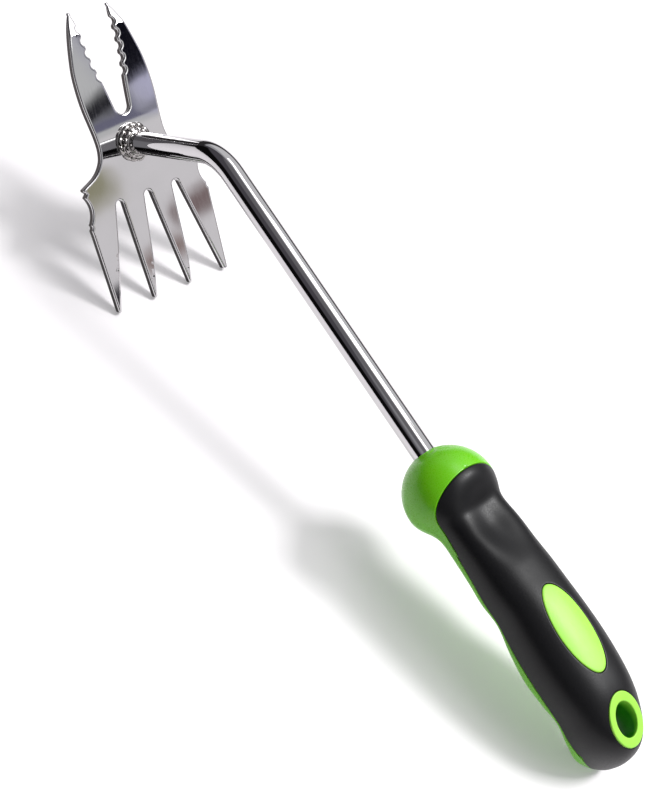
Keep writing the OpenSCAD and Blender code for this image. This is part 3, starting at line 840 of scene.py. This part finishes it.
# ---- Grip cover ----
# The last shot: a soft black thermoplastic rubber shell over the upper side and heel, 2.4 mm
# thick, with a hollow for the thumb. It stops a hair short of the hard parts all round.
COVER_GAP, COVER_EDGE_R = 0.22, 0.45
COVER_SUNK = COVER_T - 0.15
WINDOW_PLAY = 0.3
BADGE_S, BADGE_L, BADGE_W = 67.6, 37.6, 15.4
RING_L, RING_W = 21.0, 15.8


edge_right = cover_line(COVER_GAP)
v_heel = np.arange(edge_right[-1, 0] + 0.35, crown_v[-1] - 0.3, 0.5)
heel = np.column_stack([v_heel, math.pi * girth(v_heel)])
cover_half = np.concatenate([edge_right, heel, [[crown_v[-1] - 0.01, 0]]])
cover_outline = np.concatenate([cover_half, cover_half[-2:0:-1] * [1, -1]])
badge_window = over_layout(ellipse(BADGE_L + WINDOW_PLAY, BADGE_W + WINDOW_PLAY), BADGE_S)
ring_window = over_layout(ellipse(RING_L + WINDOW_PLAY, RING_W + WINDOW_PLAY), HOLE_S)
flat_cover = region([cover_outline, badge_window, ring_window], (0.05, 0.13, 0.25, 0.42, 0.65), 1.4)


def free_edge_far(points):
    """Distance to the cover's free edges; where its halves meet under the heel there is none."""
    path = np.concatenate([edge_right, edge_right[::-1]])
    return np.minimum.reduce([to_edges(points, [path]), to_edges(points, [path * [1, -1]]),
                              to_edges(points, [badge_window, ring_window])])


def cover_top(points, far):
    return skin(s_at(points[:, 0]), angle_of(points), round_over(free_edge_far(points), COVER_EDGE_R))


def cover_under(points, far):
    return skin(s_at(points[:, 0]), angle_of(points), COVER_SUNK)


grip_cover = slab("grip_cover_soft", flat_cover, cover_top, cover_under, (0.1, 0.5, 0.9),
                  joined=lambda points: np.abs(angle_of(points)) > 179.5)

# Black thermoplastic rubber, moulded against a finely blasted steel face: nearly matt, so that
# light spreads into wide soft greys, with a faint bloom from handling.
BLAST_MM, BLOOM_MM = 0.6, 22.0
soft_black, tree, where = new_material("soft_touch_rubber")
bloom, blast = noise(tree, where, BLOOM_MM, 3.0), noise(tree, where, BLAST_MM, 2.0)
grainy = add(tree, "ShaderNodeBump", {"Height": blast, "Strength": 0.35, "Distance": 0.00006})
shader = add(tree, "ShaderNodeBsdfPrincipled", {
    "Base Color": mixed(tree, bloom, linear("#0D0D0F"), linear("#121214")),
    "Roughness": spread(tree, blast, 0.3, 0.7, 0.36, 0.46), "Normal": grainy.outputs[0],
    "IOR": 1.5, "Specular IOR Level": 0.24})
finish_material(tree, shader)
grip_cover.data.materials.append(soft_black)
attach(grip_cover, "root")
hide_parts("grip_cover")

# ---- Oval badge ----
# A plain domed oval of paler lime polypropylene, pressed into a window in the cover.
BADGE_FLOOR, BADGE_PROUD, BADGE_EDGE_R = 13.6, 0.3, 0.4


def badge_ring(k, drop):
    """One ring of the badge's top, at a share k of its full size, let down by drop."""
    plan = ellipse(BADGE_L * k, BADGE_W * k)
    s, y = BADGE_S + plan[:, 0], plan[:, 1]
    z = middle(s) + up(s) * (1 - (np.abs(y) / half(s)) ** TOP_POWER) ** (1 / TOP_POWER)
    return np.column_stack([HANDLE_X + s, y, z + BADGE_PROUD * (1 - k * k) - drop])


badge_foot = badge_ring(1, 0)
badge_foot[:, 2] = BADGE_FLOOR
badge_rings = [badge_foot, badge_ring(1, 0.8)]
badge_rings += [badge_ring(1 - far / (BADGE_W / 2), float(round_over(far, BADGE_EDGE_R)))
                for far in (0, 0.03, 0.1, 0.2, 0.32, 0.5)]
badge_rings += [badge_ring(k, 0) for k in (0.85, 0.72, 0.58, 0.44, 0.3, 0.16, 0.05, 0.01)]
oval_badge = tube("oval_badge_domed", badge_rings)
# its third colour is the painted shade inside the eyelet's bore
light_lime = polypropylene("pale_lime_polypropylene", "#98DC48", "#9EE350", "#2E9405", 0.4)
oval_badge.data.materials.append(light_lime)
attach(oval_badge, "root")
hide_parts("oval_badge")

# ---- Hang eyelet ----
# An oval grommet of the same paler lime plastic: a flat ring, set aslope in the heel of the
# handle, on a barrel that lines the hang hole.
RING_SLOPE, RING_HEIGHT = math.tan(math.radians(21)), 11.9
RING_T = 2.6


def eyelet_ring(share, inset, drop=None, z=None):
    """One ring of the eyelet, a share of the way in from its outer edge to its bore and inset
    from there: drop below its sloping face, or at z."""
    plan = ellipse(RING_L + (HOLE_L - RING_L) * share - 2 * inset,
                   RING_W + (HOLE_W - RING_W) * share - 2 * inset)
    level = RING_HEIGHT - plan[:, 0] * RING_SLOPE - drop if z is None else np.full(len(plan), z)
    return np.column_stack([HANDLE_X + HOLE_S + plan[:, 0], plan[:, 1], level])


LIP_R = 0.5
steps = (0.0, 0.03, 0.1, 0.22, 0.36, 0.5)
eyelet_rings = [eyelet_ring(0, 0, RING_T), eyelet_ring(0, 0, 1.2)]
eyelet_rings += [eyelet_ring(0, t, float(round_over(t, LIP_R))) for t in steps]
eyelet_rings += [eyelet_ring(0.5, 0, 0)]
eyelet_rings += [eyelet_ring(1, -t, float(round_over(t, LIP_R))) for t in reversed(steps)]
lip_rings = len(eyelet_rings)
eyelet_rings += [eyelet_ring(1, 0, z=z) for z in (7.5, 2, BARREL_FOOT)]
eyelet_rings += [eyelet_ring(1, -BARREL_WALL, z=z) for z in (BARREL_FOOT, 4)]
eyelet_rings += [eyelet_ring(1, -BARREL_WALL, RING_T)]
# the bore's rings are marked so that the plastic is painted darker there: painted shade inside the hang hole
shaded_bore_rings = np.repeat([float(i >= lip_rings) for i in range(len(eyelet_rings))], len(eyelet_rings[0]))
eyelet_faces = bands(len(eyelet_rings), len(eyelet_rings[0]), closed=True)
hang_eyelet = piece("hang_eyelet_ring", np.concatenate(eyelet_rings), eyelet_faces, shaded_bore_rings)
hang_eyelet.data.materials.append(light_lime)
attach(hang_eyelet, "root")
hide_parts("hang_eyelet")

# ---- Table and studio ----
# A white table and plain studio surroundings: a large soft light from beyond the handle, a strip
# overhead, white walls, and the dark room behind the camera that the steel shows as black.
TABLE = ((-1.3, 1.5), (-0.45, 1.5))
tabletop = bpy.data.meshes.new("white_table")
table = bmesh.new()
bmesh.ops.create_grid(table, x_segments=8, y_segments=8, size=0.5)
for corner_point in table.verts:
    for axis, (lo, hi) in enumerate(TABLE):
        corner_point.co[axis] = lo + (corner_point.co[axis] + 0.5) * (hi - lo)
table.to_mesh(tabletop)
table.free()
floor = bpy.data.objects.new("white_table", tabletop)
bpy.context.scene.collection.objects.link(floor)
white_table, tree, where = new_material("back_lit_acrylic")
shader = add(tree, "ShaderNodeBsdfPrincipled", {
    "Base Color": linear("#E0DDDF"), "Roughness": 0.9, "Specular IOR Level": 0.1,
    "Emission Color": linear("#FFFFFF"), "Emission Strength": 0.22})
finish_material(tree, shader)
floor.data.materials.append(white_table)
floor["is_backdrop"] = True

world = bpy.data.worlds.new("studio")
bpy.context.scene.world = world
world.use_nodes = True
tree = world.node_tree
tree.nodes.clear()
way = add(tree, "ShaderNodeTexCoord").outputs["Generated"]
parts = add(tree, "ShaderNodeSeparateXYZ", {0: way}).outputs
azimuth = add(tree, "ShaderNodeMath", {0: parts[1], 1: parts[0]}, operation="ARCTAN2").outputs[0]
height = add(tree, "ShaderNodeMath", {0: parts[2]}, operation="ARCSINE").outputs[0]


def card(behind, az, el, colour, soft):
    """Hangs a soft-edged card in the surroundings, by its angles in degrees from +X and the floor."""
    mask = None
    for value, (lo, hi) in ((azimuth, az), (height, el)):
        for edge, start, end in ((lo, 0.0, 1.0), (hi, 1.0, 0.0)):
            ramp = add(tree, "ShaderNodeMapRange", {
                "Value": value, "From Min": math.radians(edge - soft), "From Max": math.radians(edge + soft),
                "To Min": start, "To Max": end}, interpolation_type="SMOOTHSTEP").outputs[0]
            mask = ramp if mask is None else add(tree, "ShaderNodeMath", {0: mask, 1: ramp},
                                                 operation="MULTIPLY").outputs[0]
    return mixed(tree, mask, behind, linear(colour))


# first the broad walls and ceiling, then the small cards that the rod, the bevels and the tines mirror
surroundings = linear("#B4B4B8")
for az, el, colour, soft in (
        ((62, 165), (18, 66), "#E4E4E6", 3.0),
        ((-200, -15), (-95, 88), "#525056", 4.0),
        ((-200, -15), (58, 88), "#78767A", 6.0),
        ((-85, -15), (4, 60), "#A2A2A6", 5.0),
        ((-200, 200), (-95, 17), "#343234", 2.5),
        ((-170, -15), (-95, 25), "#100F10", 2.5),
        ((-12, 60), (14, 31.5), "#F4F2F4", 1.2),
        ((-12, 35.6), (31, 60), "#DCDEDE", 1.2),
        ((35.6, 60), (31, 60), "#D2D2EC", 1.2),
        ((0, 130), (61, 87), "#FFFFFF", 3.0),
        ((25, 35.6), (32.2, 33.9), "#7C7C92", 0.3),
        ((25, 35.6), (33.9, 34.8), "#24242A", 0.25),
        ((35.6, 50), (32.3, 33.2), "#9A9AA8", 0.3),
        ((35.6, 50), (34.3, 39), "#12121C", 0.2),
        ((14, 29.6), (22.6, 25.4), "#A8A68C", 0.8),
        ((31, 34), (19.9, 21), "#8E7C7C", 0.4),
        ((28.6, 31), (18.8, 19.8), "#9C8884", 0.4),
        ((14, 28), (15, 19.3), "#2A2630", 0.3)):
    surroundings = card(surroundings, az, el, colour, soft)
seen = add(tree, "ShaderNodeLightPath").outputs["Is Camera Ray"]
shown = mixed(tree, seen, surroundings, linear("#FFFFFF"))
backdrop = add(tree, "ShaderNodeBackground", {"Color": shown})
add(tree, "ShaderNodeOutputWorld", {"Surface": backdrop.outputs[0]})


def soft_light(name, azimuth, elevation, far, size, power):
    """A soft box that far from the tool's middle, facing it."""
    a, e = math.radians(azimuth), math.radians(elevation)
    spot = Vector((math.cos(e) * math.cos(a), math.cos(e) * math.sin(a), math.sin(e))) * far
    lamp = bpy.data.lights.new(name, "AREA")
    lamp.shape = "RECTANGLE"
    lamp.size, lamp.size_y = size
    lamp.energy = power
    made = bpy.data.objects.new(name, lamp)
    made.matrix_world = Matrix.Translation(spot) @ (-spot).to_track_quat("-Z", "Y").to_matrix().to_4x4()
    bpy.context.scene.collection.objects.link(made)


soft_light("key", 48, 55, 2.0, (0.45, 0.45), 35)
soft_light("overhead", 80, 76, 1.0, (1.2, 0.22), 2.4)
soft_light("glint", 89, 63.5, 1.07, (0.3, 0.3), 0.7)
bpy.context.scene.view_settings.view_transform = "Standard"

size = {"cad": [list(map(float, v)) for v in cad_box], "visual": [list(map(float, v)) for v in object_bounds()]}
